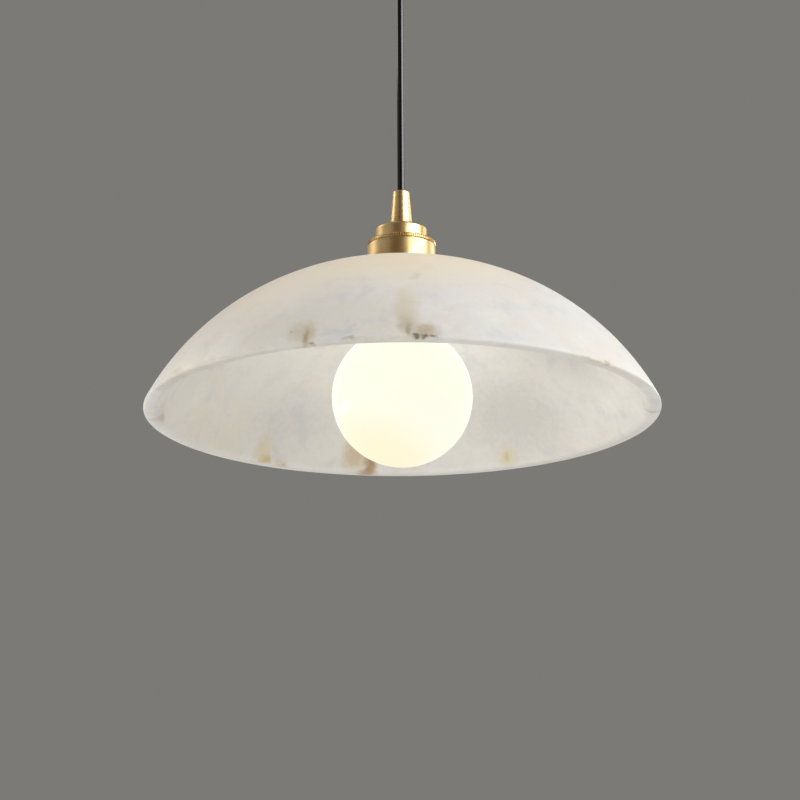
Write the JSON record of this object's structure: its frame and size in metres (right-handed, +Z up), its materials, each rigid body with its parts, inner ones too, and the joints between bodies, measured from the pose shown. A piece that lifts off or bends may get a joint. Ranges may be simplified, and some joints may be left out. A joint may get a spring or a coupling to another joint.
{
  "type": "pendant light",
  "caption": "Ceiling pendant light: a domed stone shade clamped on a brass lamp holder, with a globe bulb below and a round cord up to a brass canopy.",
  "frame": {"origin": "centre of the two screw holes in the ceiling bracket, on the face that meets the ceiling", "axes": "+Z up along the cord into the ceiling, +X along the bracket's two screw holes"},
  "size_m": [0.3466, 0.3466, 0.393],
  "materials": {
    "alabaster": "polished, cloudy, with brown and ochre veins",
    "satin_brass": "satin, turned and brushed",
    "brass_fixings": "plain turned",
    "zinc_steel": "zinc plated",
    "black_cord": "glossy extruded sheath",
    "black_rubber": "moulded",
    "cork": "fine grained cork",
    "porcelain": "glazed",
    "white_nylon": "moulded",
    "brown_core": "extruded",
    "blue_core": "extruded",
    "earth_core": "extruded, green with a yellow stripe",
    "opal_glass": "opal white inside, smooth outside, lit",
    "nickel_cap": "nickel plated, rolled thread",
    "black_glass": "vitrified",
    "tin_contact": "soldered",
    "heat_spreader": "die cast",
    "circuit_board": "white solder resist",
    "led_phosphor": "silicone lens",
    "capacitor_sleeve": "shrunk sleeve"
  },
  "bodies": {
    "ceiling_fitting": {"ceiling_bracket": "zinc_steel", "canopy": "satin_brass", "canopy_screws": "satin_brass", "ceiling_washer": "zinc_steel", "ceiling_locknut": "zinc_steel", "ceiling_nipple": "brass_fixings", "ceiling_jam_nut": "satin_brass", "ceiling_cord_grip": "satin_brass", "ceiling_grip_screw": "zinc_steel", "cord_tail": "black_cord", "strain_clamp": "white_nylon", "strain_clamp_screws": "zinc_steel", "terminal_block": "white_nylon", "terminal_tubes": "brass_fixings", "terminal_screws": "zinc_steel", "block_screw": "zinc_steel", "ceiling_live_lead": "brown_core", "ceiling_neutral_lead": "blue_core", "ceiling_earth_lead": "earth_core", "earth_tag": "zinc_steel", "earth_screw": "zinc_steel"},
    "bush": {"cord_bush": "black_rubber"},
    "cord": {"pendant_cord": "black_cord"},
    "lamp": {"lamp_cord_grip": "satin_brass", "lamp_grip_screw": "zinc_steel", "lamp_jam_nut": "satin_brass", "lamp_washer": "zinc_steel", "lamp_locknut": "zinc_steel", "lamp_nipple": "brass_fixings", "holder_cap": "satin_brass", "milled_ring": "satin_brass", "collar": "satin_brass", "top_gasket": "cork", "alabaster_shade": "alabaster", "bottom_gasket": "cork", "clamp_washer": "zinc_steel", "shade_ring": "satin_brass", "holder_sleeve": "satin_brass", "holder_insert": "porcelain", "screw_shell": "brass_fixings", "neutral_rivet": "brass_fixings", "live_terminal": "brass_fixings", "neutral_terminal": "brass_fixings", "earth_terminal": "brass_fixings", "holder_terminal_screws": "zinc_steel", "lamp_live_lead": "brown_core", "lamp_neutral_lead": "blue_core", "lamp_earth_lead": "earth_core"},
    "contact": {"centre_contact": "brass_fixings"},
    "bulb_contact": {"bulb_insulator": "black_glass", "bulb_tip_contact": "tin_contact"},
    "bulb": {"bulb_globe": "opal_glass", "bulb_screw_cap": "nickel_cap", "led_mount": "heat_spreader", "led_board": "circuit_board", "led_chips": "led_phosphor", "driver_board": "circuit_board", "driver_capacitor": "capacitor_sleeve"}
  },
  "joints": [
    {"name": "swing_front_back", "type": "hinge", "parent": "ceiling_fitting", "child": "bush", "pos_m": [0, 0, -0.0476], "axis": [1, 0, 0], "range_deg": [-12, 12]},
    {"name": "swing_left_right", "type": "hinge", "parent": "bush", "child": "cord", "pos_m": [0, 0, -0.0476], "axis": [0, 1, 0], "range_deg": [-12, 12]},
    {"name": "cord_twist", "type": "hinge", "parent": "cord", "child": "lamp", "pos_m": [0, 0, -0.1986], "axis": [0, 0, 1], "range_deg": [-90, 90], "stiffness_Nm_per_rad": 0.006},
    {"name": "contact_press", "type": "slide", "parent": "lamp", "child": "contact", "axis": [0, 0, 1], "range_m": [0, 0.001], "stiffness_N_per_m": 600},
    {"name": "bulb_travel", "type": "slide", "parent": "lamp", "child": "bulb_contact", "axis": [0, 0, -1], "range_m": [0, 0.01815]},
    {"name": "bulb_turn", "type": "hinge", "parent": "bulb_contact", "child": "bulb", "pos_m": [0, 0, -0.3455], "axis": [0, 0, -1], "range_deg": [0, 1800]}
  ],
  "couplings": [
    {"joint": "bulb_travel", "follows": "bulb_turn", "m_per_rad": 0.00057757}
  ]
}
